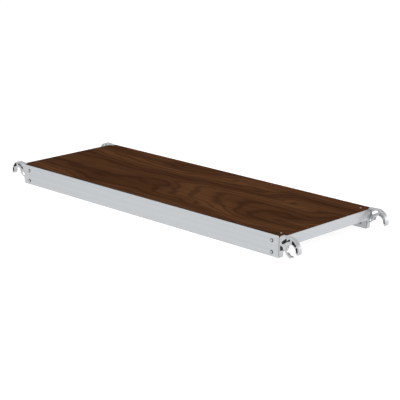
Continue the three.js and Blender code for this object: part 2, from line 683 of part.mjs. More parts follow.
function addPawl(corner, label, middleY) {
  const pawl = addMesh(corner, `pawl_${label}`, pawlGeometry(), 'zinc');
  pawl.position.set(STRINGER_END, middleY, 0);
  const pin = addMesh(corner, `pawl_pin_${label}`, pinGeometry(), 'zinc');
  pin.position.set(STRINGER_END + PIVOT_U, middleY, PIVOT_Z);
  const spring = addMesh(corner, `pawl_spring_${label}`, springGeometry(), 'spring');
  spring.position.set(STRINGER_END + PIVOT_U, middleY + SPRING_OFFSET, PIVOT_Z);
}

addFrame();
CORNERS.forEach(addCorner);

export default group;
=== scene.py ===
"""Looks of a scaffold platform: a plywood deck in an aluminium frame with a cast claw at each corner.

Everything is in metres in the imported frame: X along the platform, Y across it, Z up from the stringers'
undersides. A claw is worked out in its own axes, in millimetres: u outwards from the stringer end, y across
the claw from its mid-plane and z up.
"""

import math

import bmesh
import bpy
import numpy as np
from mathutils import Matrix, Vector


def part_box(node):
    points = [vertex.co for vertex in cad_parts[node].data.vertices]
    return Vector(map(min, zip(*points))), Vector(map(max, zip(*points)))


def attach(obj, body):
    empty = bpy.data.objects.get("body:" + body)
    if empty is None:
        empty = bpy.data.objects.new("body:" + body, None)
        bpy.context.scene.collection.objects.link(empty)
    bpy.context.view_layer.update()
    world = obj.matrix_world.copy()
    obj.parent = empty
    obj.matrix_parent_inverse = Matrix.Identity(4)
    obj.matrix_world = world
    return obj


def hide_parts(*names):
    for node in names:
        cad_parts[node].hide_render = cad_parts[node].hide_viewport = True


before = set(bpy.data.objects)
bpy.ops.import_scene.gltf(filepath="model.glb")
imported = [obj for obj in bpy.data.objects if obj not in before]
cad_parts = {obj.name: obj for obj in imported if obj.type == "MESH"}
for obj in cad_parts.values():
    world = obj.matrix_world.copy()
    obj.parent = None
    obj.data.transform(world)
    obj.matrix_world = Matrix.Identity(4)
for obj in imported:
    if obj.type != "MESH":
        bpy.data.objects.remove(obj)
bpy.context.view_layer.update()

MM = 0.001

# ------------------------------------------------------------------ sizes, millimetres unless said

STRINGER_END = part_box("stringer_front")[1].x / MM
SIDE = -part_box("stringer_front")[0].y / MM
INNER_SIDE = -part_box("stringer_front")[1].y / MM
STRINGER_MIDDLE = (SIDE + INNER_SIDE) / 2
DECK_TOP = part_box("deck_panel")[1].z / MM
CLAW_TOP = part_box("claw_front_right")[1].z / MM
CLAW_FACE = (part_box("claw_front_right")[1].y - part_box("claw_front_right")[0].y) / MM / 2
PIN_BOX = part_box("pawl_pin_front_right")
PIVOT_U = (PIN_BOX[0].x + PIN_BOX[1].x) / 2 / MM - STRINGER_END
PIVOT_Z = (PIN_BOX[0].z + PIN_BOX[1].z) / 2 / MM

CONTACT_GAP = 0.3
STRINGER_WALL = 2.5
SEAT_RADIUS = 26.0
SEAT_REACH = 62.0
CROWN_RADIUS = 54.0
CROWN_U = SEAT_REACH - 12.0
CROWN_Z = CLAW_TOP - CROWN_RADIUS
SEAT_HEIGHT = CROWN_Z + 1.0
TIP_RADIUS = 6.3
TIP_Z = SEAT_HEIGHT - 6.5
SHOULDER_RUN = 8.0
SHOULDER_TOP = CLAW_TOP - 2.0
SHOULDER_DROP = 10.0
HEEL_RISE = 3.0
HEEL_WIDTH = 3.0
KNEE_U = 7.0
KNEE_DROP = 19.0
FLANK_U = 14.5
FLANK_DROP = 13.0
WINDOW_RIM = 6.5
SEAT_RIM = 12.0
WINDOW_LEFT = 15.0
WINDOW_FOOT = 4.0
WINDOW_SIDE = 9.0
WINDOW_TOP = (110, 78)  # degrees about the crown's centre
WEB_END = 90
WINDOW_LOW = (96, 124)  # degrees about the seat's centre
FLANK_LEFT = 5.0
FLANK_TOP_RUN = 10.0
FLANK_SLOPE = 8.0
PIN_RIM = 3.0
BOSS_CLEARANCE = 1.0
CROWN_CELL = (82, 40)  # degrees about the seat's centre
TIP_CELL = (32, -6)
CELL_MIDDLE = 12.0  # from a pocket's seat side to where its end angles are taken
SEAT_WALL = 3.0
CROWN_WALL = 4.5
POCKET_DEPTH = 7.0
POCKET_DRAFT = 0.14
SHANK_LENGTH = 70.0
SHANK_HALF = 9.7
SHANK_LOW = STRINGER_WALL + CONTACT_GAP
SHANK_HIGH = 81.2
SHANK_OVERLAP = 1.0
SLOT_HALF = 7.0
SLOT_START = 6.8
PAWL_HALF = 5.4
PAWL_OFFSET = SLOT_HALF - CONTACT_GAP - PAWL_HALF
PAWL_BOSS_RADIUS = 9.0
SLOT_CLEARANCE = 2.0
SLOT_END = PIVOT_U + PAWL_BOSS_RADIUS + SLOT_CLEARANCE
SLOT_TOP = PIVOT_Z + PAWL_BOSS_RADIUS + SLOT_CLEARANCE
CLAW_BOSS_RADIUS = 7.4
CLAW_BOSS_SINK = 0.05
PAWL_INNER = SEAT_RADIUS + 0.7
PAWL_OUTER = PAWL_INNER + 10.8
PAWL_START, PAWL_LEG, PAWL_HEEL, PAWL_TOE = 155.0, 244.0, 256.0, 290.0  # degrees about the seat's centre
PAWL_HEEL_RISE = 1.0
PAWL_TOE_THICKNESS = 2.5
PAWL_REACH = 12.0  # of the toe beyond the seat's centre, with a little to spare
RUNNING_GAP = 0.25
PIN_RADIUS = 3.0
BOLT_RADIUS = 4.0
BOLT_SETBACK = 38.0
BOLT_HEIGHTS = (18.0, 68.0)
BOLT_HEAD_HEIGHT = 2.2
BOLT_TAIL = 2.5
NUT_HEIGHT = 6.5
NUT_FLAT = 6.5  # from the axis to a flat
RIVET_SETBACK = 15.0
RIVET_CUP_RADIUS = 3.7
RIVET_CUP_DEPTH = 4.0
BEAM_WALL = 2.5
BEARER_WALL = 2.0
SCREW_RADIUS = 2.1
SCREW_HEAD_RADIUS = 4.2
SCREW_HEAD_HEIGHT = 2.4
SCREW_LENGTH = 22.0
SPRING_HALF = 1.1

CLAW_GRID, PAWL_GRID = 0.8, 0.6  # cells of the distance fields
SPARE_CELLS = 2
CROWN_STEPS, TIP_STEPS, SEAT_STEPS = 40, 16, 48
WINDOW_STEPS, POCKET_STEPS = 12, 18
PAWL_STEPS, LEG_STEPS = 40, 28
TINY = 1e-12

CLAW_ROUNDING, PAWL_ROUNDING = 1.6, 1.1
BOSS_FILLET, PAWL_FILLET, SHANK_FILLET = 0.6, 1.6, 0.9
WINDOW_FILLET, POCKET_FILLET, SLOT_FILLET, BORE_FILLET = 1.8, 1.3, 0.7, 0.4

RIM_FADE, POCKET_FADE = 1.5, 2.0  # how far the painted shade in a claw's hollows takes to fade in, across a rim and below the face
WINDOW_FADE_START, WINDOW_FADE, WINDOW_FADE_DEPTH = 1.2, 1.0, 4.0
SLOT_MARGIN, SLOT_FADE, SLOT_REACH = 0.6, 0.8, 1.0
# strength of the painted shade in the claws' hollows, on the front claws and on the back ones
FRONT_PAINTED_SHADE, BACK_PAINTED_SHADE = 1.0, 0.15


# ------------------------------------------------------------------ mesh helpers


def make_piece(name, points, faces, smooth=True):
    """A mesh object from an (n, 3) array in millimetres and an (m, 3) or (m, 4) array of corner numbers."""
    mesh = bpy.data.meshes.new(name)
    mesh.vertices.add(len(points))
    mesh.vertices.foreach_set("co", (points * MM).astype(np.float32).ravel())
    sides = faces.shape[1]
    mesh.loops.add(faces.size)
    mesh.loops.foreach_set("vertex_index", faces.astype(np.int32).ravel())
    mesh.polygons.add(len(faces))
    mesh.polygons.foreach_set("loop_start", np.arange(0, faces.size, sides, dtype=np.int32))
    mesh.update(calc_edges=True)
    mesh.polygons.foreach_set("use_smooth", np.full(len(faces), smooth))
    piece = bpy.data.objects.new(name, mesh)
    bpy.context.scene.collection.objects.link(piece)
    return piece


def weld(piece, distance=0.01):
    """Joins the repeated corners at seams and poles, and turns every face outwards."""
    cage = bmesh.new()
    cage.from_mesh(piece.data)
    bmesh.ops.remove_doubles(cage, verts=cage.verts, dist=distance * MM)
    bmesh.ops.dissolve_degenerate(cage, edges=cage.edges, dist=distance * MM / 2)
    bmesh.ops.recalc_face_normals(cage, faces=cage.faces)
    cage.to_mesh(piece.data)
    cage.free()
    piece.data.update()
    return piece


def sharpen(piece, degrees=32):
    """Keeps edges that turn more than the angle crisp under smooth shading."""
    piece.data.set_sharp_from_angle(angle=math.radians(degrees))
    return piece


def move(points, spin, x, y, z):
    """Points turned by a half turn about Z where spin is true, then shifted."""
    flip = -1.0 if spin else 1.0
    return points * np.array([flip, flip, 1.0]) + np.array([x, y, z])


def ring_faces(rows, columns, closed_rows=False):
    """Quads of a grid of rows by columns whose columns close into a ring, and whose rows may too."""
    last = rows if closed_rows else rows - 1
    row, column = np.meshgrid(np.arange(last), np.arange(columns), indexing="ij")
    below = (row + 1) % rows
    beside = (column + 1) % columns
    quads = np.stack([row * columns + column, row * columns + beside,
                      below * columns + beside, below * columns + column], axis=-1)
    return quads.reshape(-1, 4)


def turned(profile, columns=40, relief=None):
    """A profile of (radius, height) rows turned about Y: x = r cos a, z = r sin a, y = height. The relief,
    if given, is a function of (angle, height, radius) that returns the new radius."""
    profile = np.asarray(profile, float)
    angle = np.linspace(0, 2 * np.pi, columns, endpoint=False)[None, :]
    radius = np.repeat(profile[:, :1], columns, axis=1)
    height = np.repeat(profile[:, 1:2], columns, axis=1)
    if relief is not None:
        radius = relief(angle, height, radius)
    points = np.stack([radius * np.cos(angle), height, radius * np.sin(angle)], axis=-1)
    return points.reshape(-1, 3), ring_faces(len(profile), columns)


def rounded_profile(corners, radius, steps=4, most=0.45):
    """A (radius, height) polyline with each inner corner replaced by a quadratic curve of the given reach,
    or of the most that its shorter side allows."""
    corners = [np.asarray(corner, float) for corner in corners]
    rows = [corners[0]]
    for before, corner, after in zip(corners, corners[1:], corners[2:]):
        back, ahead = before - corner, after - corner
        reach = min(radius, most * np.linalg.norm(back), most * np.linalg.norm(ahead))
        start = corner + back / np.linalg.norm(back) * reach
        end = corner + ahead / np.linalg.norm(ahead) * reach
        t = np.linspace(0, 1, steps)[:, None]
        rows.extend((1 - t) ** 2 * start + 2 * t * (1 - t) * corner + t * t * end)
    rows.append(corners[-1])
    return np.array(rows)


# ------------------------------------------------------------------ distance fields


def arc(u, z, radius, start, end, steps):
    """Points on an arc about (u, z) between two angles in degrees."""
    angle = np.radians(np.linspace(start, end, steps))
    return np.stack([u + radius * np.cos(angle), z + radius * np.sin(angle)], axis=-1)


def outline_distance(outline, u, z):
    """Signed distance from (u, z) to a closed outline, negative inside: the least distance to its edges,
    with the sign from how often a ray from the point crosses them."""
    nearest = np.full(u.shape, np.inf)
    inside = np.zeros(u.shape, bool)
    for (u0, z0), (u1, z1) in zip(outline, np.roll(outline, -1, axis=0)):
        du, dz = u1 - u0, z1 - z0
        length = du * du + dz * dz
        if length < TINY:
            continue
        t = np.clip(((u - u0) * du + (z - z0) * dz) / length, 0, 1)
        nearest = np.minimum(nearest, (u - u0 - t * du) ** 2 + (z - z0 - t * dz) ** 2)
        if dz != 0:
            crosses = (z0 > z) != (z1 > z)
            inside ^= crosses & (u < u0 + (z - z0) / dz * du)
    return np.where(inside, -1, 1) * np.sqrt(nearest)


def join(a, b, fillet):
    """Union of two fields with a fillet: a polynomial smooth minimum."""
    share = np.clip(0.5 + 0.5 * (b - a) / fillet, 0, 1)
    return b + (a - b) * share - fillet * share * (1 - share)


def cut(a, b, fillet):
    """The first field less the second, its new edges rounded."""
    return -join(-a, b, fillet)


def slab_field(flat, across, half, rounding):
    """A flat outline's field given a thickness of twice half, with its rim rounded."""
    edge, face = flat + rounding, np.abs(across) - half + rounding
    outer = np.hypot(np.maximum(edge, 0), np.maximum(face, 0))
    return np.minimum(np.maximum(edge, face), 0) + outer - rounding


def skin(field, corner, step):
    """The zero surface of a field on a cubic grid, by surface nets: a cell that the surface crosses gets one
    point at the mean of the crossings on its edges, and each crossed edge joins the four cells round it."""
    shape = np.array(field.shape)
    cells = tuple(shape - 1)
    total = np.zeros(cells + (3,))
    count = np.zeros(cells)
    crossings = []
    for axis in range(3):
        low = np.moveaxis(field, axis, 0)[:-1]
        high = np.moveaxis(field, axis, 0)[1:]
        crossed = (low < 0) != (high < 0)
        share = np.where(crossed, low / np.where(crossed, low - high, 1), 0)
        crossings.append((crossed, low < 0))
        others = [other for other in range(3) if other != axis]
        for first in (0, 1):
            for second in (0, 1):
                window = (slice(None), slice(first, first + cells[others[0]]),
                          slice(second, second + cells[others[1]]))
                hit = np.moveaxis(crossed[window], 0, axis)
                at = np.moveaxis(share[window], 0, axis)
                total[..., axis] += at
                total[..., others[0]] += first * hit
                total[..., others[1]] += second * hit
                count += hit
    used = count > 0
    number = np.full(cells, -1)
    number[used] = np.arange(used.sum())
    points = (np.argwhere(used) + total[used] / count[used][:, None]) * step + corner
    faces = []
    for axis in range(3):
        crossed, leaving = crossings[axis]
        crossed = np.moveaxis(crossed, 0, axis)
        leaving = np.moveaxis(leaving, 0, axis)
        edge = np.argwhere(crossed)
        second, third = (axis + 1) % 3, (axis + 2) % 3
        inner = (edge[:, second] > 0) & (edge[:, third] > 0)
        inner &= (edge[:, second] < cells[second]) & (edge[:, third] < cells[third])
        edge = edge[inner]
        outwards = leaving[tuple(edge.T)]
        around = []
        for back_second, back_third in ((1, 1), (0, 1), (0, 0), (1, 0)):
            cell = edge.copy()
            cell[:, second] -= back_second
            cell[:, third] -= back_third
            around.append(number[tuple(cell.T)])
        quads = np.stack(around, axis=-1)
        faces.append(np.where(outwards[:, None], quads, quads[:, ::-1]))
    return points, np.concatenate(faces)


def field_grid(low, high, step):
    """Grid lines along each axis from low to high, with spare cells all round."""
    return [np.arange(a - SPARE_CELLS * step, b + (SPARE_CELLS + 0.5) * step, step)
            for a, b in zip(low, high)]


# ------------------------------------------------------------------ claw casting


def claw_outline():
    """Up the stringer end, over the crown, round the tip, back through the seat and down the flank."""
    crown_end = math.degrees(math.asin((TIP_Z - CROWN_Z) / CROWN_RADIUS))
    tip_u = CROWN_U + CROWN_RADIUS * math.cos(math.radians(crown_end)) - TIP_RADIUS
    return np.concatenate([
        [[CONTACT_GAP, HEEL_RISE], [CONTACT_GAP, SHOULDER_TOP - SHOULDER_DROP]],
        [[SHOULDER_RUN, SHOULDER_TOP]],
        arc(CROWN_U, CROWN_Z, CROWN_RADIUS, 90, crown_end, CROWN_STEPS),
        arc(tip_u, TIP_Z, TIP_RADIUS, 0, -180, TIP_STEPS),
        arc(SEAT_REACH, SEAT_HEIGHT, SEAT_RADIUS, 0, 180, SEAT_STEPS),
        [[FLANK_U, SEAT_HEIGHT - FLANK_DROP], [KNEE_U, SEAT_HEIGHT - KNEE_DROP]],
        [[CONTACT_GAP + HEEL_WIDTH, HEEL_RISE]],
    ])


def neck_window(above_diagonal=False):
    """The slanting window between the crown and the seat's rim, or the part of it above its diagonal."""
    foot = PIVOT_Z + WINDOW_FOOT
    left = [[WINDOW_LEFT, foot], [WINDOW_LEFT, foot + WINDOW_SIDE]]
    start, end = WINDOW_TOP
    if above_diagonal:
        end = WEB_END
    top = arc(CROWN_U, CROWN_Z, CROWN_RADIUS - WINDOW_RIM, start, end, WINDOW_STEPS)
    if above_diagonal:
        return np.concatenate([left, top])
    low = arc(SEAT_REACH, SEAT_HEIGHT, SEAT_RADIUS + SEAT_RIM, *WINDOW_LOW, WINDOW_STEPS)
    boss_reach = SEAT_RADIUS + BOSS_CLEARANCE + 2 * PAWL_BOSS_RADIUS
    over_boss = arc(SEAT_REACH, SEAT_HEIGHT, boss_reach, PAWL_START, PAWL_START, 1)
    return np.concatenate([left, top, low, over_boss])


def flank_window():
    """The window in the flank below the pivot."""
    left, right = FLANK_LEFT, PIVOT_U - PIN_RADIUS - PIN_RIM
    top, bottom = PIVOT_Z - PIN_RADIUS - PIN_RIM, SEAT_HEIGHT - FLANK_DROP
    return np.array([[left, bottom], [left, top], [left + FLANK_TOP_RUN, top], [right, top - FLANK_SLOPE],
                     [right, bottom + FLANK_SLOPE]])


def crown_pocket(angles):
    """A pocket along the crown between two angles about the seat's centre."""
    start, end = angles
    inner, outer = SEAT_RADIUS + SEAT_WALL, CROWN_RADIUS - CROWN_WALL
    near = arc(SEAT_REACH, SEAT_HEIGHT, inner, start, end, POCKET_STEPS)
    ends = arc(SEAT_REACH, SEAT_HEIGHT, inner + CELL_MIDDLE, end, start, 2)
    angles = np.degrees(np.arctan2(ends[:, 1] - CROWN_Z, ends[:, 0] - CROWN_U))
    return np.concatenate([near, arc(CROWN_U, CROWN_Z, outer, angles[0], angles[1], POCKET_STEPS)])


def claw_field(pawl, u, y, z):
    """Signed distance of a claw: the outline given its thickness with a rounded rim, less the windows, the
    clevis slot and the pin's bore, less the tapering pockets on each side, and joined to the shank. A claw
    with a pawl keeps a web across the lower part of its neck window."""

    def flat(outline):
        return outline_distance(outline, u[:, 0, :], z[:, 0, :])[:, None, :]

    outline = flat(claw_outline())
    body = slab_field(outline, y, CLAW_FACE, CLAW_ROUNDING)
    windows = np.minimum(flat(neck_window(pawl)), flat(flank_window()))
    pockets = np.minimum(flat(crown_pocket(CROWN_CELL)), flat(crown_pocket(TIP_CELL)))
    if pawl:
        pockets = np.minimum(pockets, flat(neck_window()))
    depth = CLAW_FACE - np.abs(y)
    pockets = np.maximum(pockets + POCKET_DRAFT * depth, depth - POCKET_DEPTH)
    slot = np.maximum.reduce([np.abs(y) - SLOT_HALF, SLOT_START - u, u - SLOT_END, z - SLOT_TOP])
    from_pin = np.hypot(u - PIVOT_U, z - PIVOT_Z)
    boss = np.maximum(from_pin - CLAW_BOSS_RADIUS, np.abs(y) - CLAW_FACE + CLAW_BOSS_SINK)
    solid = join(body, np.maximum(boss, outline), BOSS_FILLET)
    solid = cut(solid, windows, WINDOW_FILLET)
    solid = cut(solid, pockets, POCKET_FILLET)
    solid = cut(solid, slot, SLOT_FILLET)
    solid = cut(solid, from_pin - PIN_RADIUS - CONTACT_GAP, BORE_FILLET)
    return join(solid, shank_field(u, y, z), SHANK_FILLET)


def shank_field(u, y, z):
    """The box that fills the stringer's end, less the bolts' holes and a cup over each rivet's tail."""
    shank = np.maximum.reduce([-SHANK_LENGTH - u, u - SHANK_OVERLAP, SHANK_LOW - z, z - SHANK_HIGH,
                               np.abs(y) - SHANK_HALF])
    for height in BOLT_HEIGHTS:
        hole = np.hypot(u + BOLT_SETBACK, z - height) - BOLT_RADIUS - CONTACT_GAP
        shank = cut(shank, hole, BORE_FILLET)
    for height in rivet_heights():
        cup = np.hypot(u + RIVET_SETBACK, z - height) - RIVET_CUP_RADIUS
        shank = cut(shank, np.maximum(cup, SHANK_HALF - RIVET_CUP_DEPTH - np.abs(y)), BORE_FILLET)
    return shank


def ramp(value, start, length):
    """0 up to the start, then rising evenly to 1 over the length."""
    return np.clip((value - start) / length, 0, 1)


def painted_pocket_shade(pawl, points):
    """How much painted shade each point of a claw gets, from 0 to 1: shade painted into its pockets, windows
    and slot. In a pocket or window it is a ramp across the rim times a ramp of the depth under the claw's
    face, and in the slot it is a ramp across its side."""
    u, y, z = points.T
    in_pocket = np.minimum(outline_distance(crown_pocket(CROWN_CELL), u, z),
                           outline_distance(crown_pocket(TIP_CELL), u, z))
    if pawl:
        in_pocket = np.minimum(in_pocket, outline_distance(neck_window(), u, z))
    in_window = outline_distance(flank_window(), u, z)
    depth = CLAW_FACE - np.abs(y)
    pocket_shade = ramp(-in_pocket, -RIM_FADE, RIM_FADE) * ramp(depth, 0, POCKET_FADE)
    window_shade = ramp(-in_window, -WINDOW_FADE_START, WINDOW_FADE) * ramp(depth, 0, WINDOW_FADE_DEPTH)
    slot_shade = ramp(-np.abs(y), -SLOT_HALF - SLOT_MARGIN, SLOT_FADE) * (u > SLOT_START + SLOT_MARGIN)
    slot_shade = slot_shade * (z < SLOT_TOP + SLOT_REACH) * (u < SLOT_END + SLOT_REACH)
    return np.maximum.reduce([pocket_shade, window_shade, slot_shade])


def claw_parts(pawl):
    """The claw's skin, and each point's painted shade."""
    low, high = (-SHANK_LENGTH, -CLAW_FACE, 0), (CROWN_U + CROWN_RADIUS, CLAW_FACE, CLAW_TOP)
    u, y, z = np.meshgrid(*field_grid(low, high, CLAW_GRID), indexing="ij")
    corner = np.array([axis.flat[0] for axis in (u, y, z)])
    points, faces = skin(claw_field(pawl, u, y, z), corner, CLAW_GRID)
    return points, faces, painted_pocket_shade(pawl, points)


def rivet_heights():
    """Heights of the rivets in an end beam's tab, read from their packed boxes."""
    boxes = [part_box(f"beam_rivet_{place}_front_right") for place in ("lower", "upper")]
    return [(low.z + high.z) / 2 / MM for low, high in boxes]


def pawl_parts():
    """The pawl's skin: a finger that follows the rung, joined by a fillet to its boss, bored for the pin."""
    heel = arc(SEAT_REACH, SEAT_HEIGHT, PAWL_OUTER + PAWL_HEEL_RISE, PAWL_HEEL, PAWL_HEEL, 1)
    tip = arc(SEAT_REACH, SEAT_HEIGHT, PAWL_INNER + PAWL_TOE_THICKNESS, PAWL_TOE, PAWL_TOE, 1)
    finger = np.concatenate([
        arc(SEAT_REACH, SEAT_HEIGHT, PAWL_INNER, PAWL_START, PAWL_TOE, PAWL_STEPS), tip, heel,
        arc(SEAT_REACH, SEAT_HEIGHT, PAWL_OUTER, PAWL_LEG, PAWL_START, LEG_STEPS),
    ])
    low = (PIVOT_U - PAWL_BOSS_RADIUS, -PAWL_HALF, 0)
    high = (SEAT_REACH + PAWL_REACH, PAWL_HALF, PIVOT_Z + PAWL_BOSS_RADIUS)
    u, y, z = np.meshgrid(*field_grid(low, high, PAWL_GRID), indexing="ij")
    flat = outline_distance(finger, u[:, 0, :], z[:, 0, :])[:, None, :]
    from_pin = np.hypot(u - PIVOT_U, z - PIVOT_Z)
    plan = join(flat, from_pin - PAWL_BOSS_RADIUS, PAWL_FILLET)
    solid = slab_field(plan, y, PAWL_HALF, PAWL_ROUNDING)
    solid = cut(solid, from_pin - PIN_RADIUS - RUNNING_GAP, BORE_FILLET)
    corner = np.array([axis.flat[0] for axis in (u, y, z)])
    points, faces = skin(solid, corner, PAWL_GRID)
    return points + np.array([0, PAWL_OFFSET, 0]), faces


# ------------------------------------------------------------------ fasteners


BOLT_THREAD_LENGTH = 11.0
BOLT_THREAD = (1.25, 0.62)  # pitch and depth
BOLT_DIMPLE = np.array([[0, 0.55], [1.3, 0.5], [1.9, 0.16]])  # (radius, height) from the crown of the head
BOLT_DIMPLE_RADIUS = 2.1
BOLT_NECK = np.array([[8.0, -0.25], [7.9, 0], [4.3, 0], [BOLT_RADIUS, 0.6]])  # from the head's underside
RIVET_HEAD = np.array([[0, -0.5], [1.1, -0.5], [1.15, -1.35], [2.4, -1.4], [4.2, -0.75], [4.6, -0.05],
                       [2.4, 0]])  # from the head's underside
RIVET_TAIL = np.array([[2.4, -0.2], [3.4, 0.8], [3.1, 2.4], [1.3, 3.0], [0, 3.0]])  # from the grip's end
SCREW_THREAD = (1.4, 0.6)
SCREW_RINGS = np.concatenate([np.linspace(0, 3.2, 17), [3.7, 4.05, SCREW_HEAD_RADIUS]])
SLOT_WIDTH, SLOT_SIDE, SLOT_LENGTH, SLOT_RUN, SLOT_DEPTH = 0.62, 0.25, 2.5, 0.5, 1.5  # of the cross recess
CENTRE_RADIUS, CENTRE_SIDE, CENTRE_DEPTH = 1.0, 0.3, 1.7
PIN_HEAD = np.array([[0, 1.2], [3.6, 1.2], [4.9, 0.25], [4.9, 0]])  # from the claw's face
# painted shade on a bolt head: the radius where it starts, how far it takes to fill, and its reach along the
# axis
HEAD_SHADE_START, HEAD_SHADE_RUN, HEAD_DEPTH = 4.2, 1.4, 4.0


def threaded(pitch, depth, angle, height):
    """How far a thread's groove cuts in: a triangle wave of height less angle."""
    phase = (height / pitch - angle / (2 * np.pi)) % 1.0
    return depth * (1 - np.abs(2 * phase - 1))


def bolt_parts():
    """A domed bolt, its head's underside at y = 0 and its shank running to +Y. The tail's radius swings with
    height less angle, which makes the thread."""
    under, rim, dome_radius, dome_rows, chamfer = -CONTACT_GAP, 0.5, 7.8, 12, 0.9
    length = SIDE - INNER_SIDE + CONTACT_GAP + NUT_HEIGHT + BOLT_TAIL
    thread_from, rows = length - BOLT_THREAD_LENGTH, 90
    turn = np.linspace(0, np.pi / 2, dome_rows)[:, None]
    dome = np.concatenate([dome_radius * np.sin(turn),
                           under - rim - (BOLT_HEAD_HEIGHT - rim) * np.cos(turn)], axis=1)
    dimple = BOLT_DIMPLE + np.array([0, under - BOLT_HEAD_HEIGHT])
    tail = np.linspace(thread_from, length - chamfer, rows)
    threads = np.stack([np.full(rows, BOLT_RADIUS), tail], axis=-1)
    end = np.array([[BOLT_RADIUS - chamfer, length], [0, length]])
    neck = BOLT_NECK + np.array([0, under])
    profile = np.concatenate([dimple, dome[dome[:, 0] > BOLT_DIMPLE_RADIUS], neck, threads, end])

    def thread(angle, height, radius):
        on_tail = (height >= thread_from) & (height < length)
        return np.where(on_tail, radius - threaded(*BOLT_THREAD, angle, height), radius)

    return turned(profile, columns=36, relief=thread)


def nut_parts():
    """A hexagon nut about Y: the lesser of a hexagon's radius at each angle and a chamfer cone's at each
    height, over a bore."""
    half, chamfer, slope, side_rows, columns = NUT_HEIGHT / 2, 0.3, 1.75, 15, 72
    bore, corner = BOLT_RADIUS + CONTACT_GAP, NUT_FLAT / math.cos(math.pi / 6)
    rows = [(bore, -half), (NUT_FLAT - chamfer, -half)]
    rows += [(corner, y) for y in np.linspace(-half, half, side_rows)]
    rows += [(NUT_FLAT - chamfer, half), (bore, half)]

    def hexagon(angle, height, radius):
        turn = (angle % (np.pi / 3)) - np.pi / 6
        cone = NUT_FLAT - chamfer + (half - np.abs(height)) * slope
        return np.where(radius > NUT_FLAT, np.minimum(NUT_FLAT / np.cos(turn), cone), radius)

    points, _ = turned(rows, columns, hexagon)
    return points, ring_faces(len(rows), columns, closed_rows=True)


def rivet_parts(grip):
    """A blind rivet, its head's underside at y = 0: a low dome with the stub of the mandrel sunk in it, a
    plain body and a bulged tail."""
    head = RIVET_HEAD + np.array([0, -CONTACT_GAP])
    tail = RIVET_TAIL + np.array([0, grip + CONTACT_GAP])
    return turned(rounded_profile(np.concatenate([head, tail]), radius=0.5), columns=28)


def screw_parts():
    """A countersunk screw under z = 0 with a cross recess: on the head's flat the depth is greatest along
    two crossed slots and fades towards their ends. The shaft's radius swings with height less angle."""
    columns, plain, run_in, point, thread_rows = 48, 6.0, 0.5, 1.8, 110
    angle = np.linspace(0, 2 * np.pi, columns, endpoint=False)[None, :]
    radius = np.repeat(SCREW_RINGS[:, None], columns, axis=1)
    x, y = radius * np.cos(angle), radius * np.sin(angle)
    slot = ramp(-np.minimum(np.abs(x), np.abs(y)), -SLOT_WIDTH, SLOT_SIDE)
    depth = np.maximum(slot * ramp(-radius, -SLOT_LENGTH, SLOT_RUN) * SLOT_DEPTH,
                       ramp(-radius, -CENTRE_RADIUS, CENTRE_SIDE) * CENTRE_DEPTH)
    face = np.stack([x, y, -depth], axis=-1)
    body = [(SCREW_HEAD_RADIUS, -CONTACT_GAP), (SCREW_RADIUS, -SCREW_HEAD_HEIGHT)]
    body += [(SCREW_RADIUS, level) for level in np.linspace(-plain, point - SCREW_LENGTH, thread_rows)]
    body = np.array(body + [(0.0, -SCREW_LENGTH)])
    across = np.repeat(body[:, :1], columns, axis=1)
    level = np.repeat(body[:, 1:], columns, axis=1)
    on_thread = (level < -plain - run_in) & (across > 0)
    across = across - np.where(on_thread, threaded(*SCREW_THREAD, angle, level), 0)
    shaft = np.stack([across * np.cos(angle), across * np.sin(angle), level], axis=-1)
    points = np.concatenate([face, shaft]).reshape(-1, 3)
    return points, ring_faces(len(SCREW_RINGS) + len(body), columns)[:, ::-1]


def pin_parts():
    """The pawl's pin about Y, with a rounded rivet head beyond each side of the claw."""
    side = PIN_HEAD + np.array([0, CLAW_FACE + CONTACT_GAP])
    side = np.concatenate([side, [[PIN_RADIUS, side[-1, 1]]]])
    both = np.concatenate([side * np.array([1, -1]), side[::-1]])
    return turned(rounded_profile(both, radius=0.6), columns=36)


def spring_parts():
    """The coil of a torsion spring about Y: a round wire along a helix, its ends tucked flat."""
    wire, coil, turns, steps, sides, tuck = 0.72, 6.4, 1.55, 110, 12, 0.015
    t = np.linspace(0, 1, steps)[:, None]
    sweep = 2 * np.pi * turns * t
    rise = (t - 0.5) * 2 * (SPRING_HALF - wire)
    around = np.linspace(0, 2 * np.pi, sides, endpoint=False)[None, :]
    near_end = np.clip(np.abs(t - 0.5) * 2 - (1 - tuck), 0, 1) / tuck
    tip = wire * np.sqrt(np.clip(1 - near_end ** 2, 1e-4, 1))
    radius = coil + tip * np.cos(around)
    points = np.stack([radius * np.cos(sweep), rise + tip * np.sin(around), radius * np.sin(sweep)], axis=-1)
    points = points.reshape(-1, 3)
    faces = ring_faces(steps, sides)
    caps = []
    for row in (0, steps - 1):
        centre = len(points)
        points = np.concatenate([points, points[row * sides:(row + 1) * sides].mean(axis=0, keepdims=True)])
        ring = row * sides + np.arange(sides)
        hub = np.full(sides, centre)
        caps.append(np.stack([ring, np.roll(ring, -1), hub, hub], axis=-1))
    return points, np.concatenate([faces, *caps])


# ------------------------------------------------------------------ materials


NOISE_RANGE = (0.3, 0.7)  # where most of a noise's values fall
EXTRUSION_LOW, EXTRUSION_HIGH = (0.475, 0.492, 0.507), (0.545, 0.558, 0.570)
SCRATCH, SCRATCH_SHARE = (0.78, 0.79, 0.80), 0.35
CAST_LOW, CAST_HIGH = (0.49, 0.503, 0.508), (0.575, 0.587, 0.593)
# painted shade: the colour that the claws' pockets, windows and slot darken to
POCKET_PAINTED_SHADE = (0.036, 0.046, 0.048)
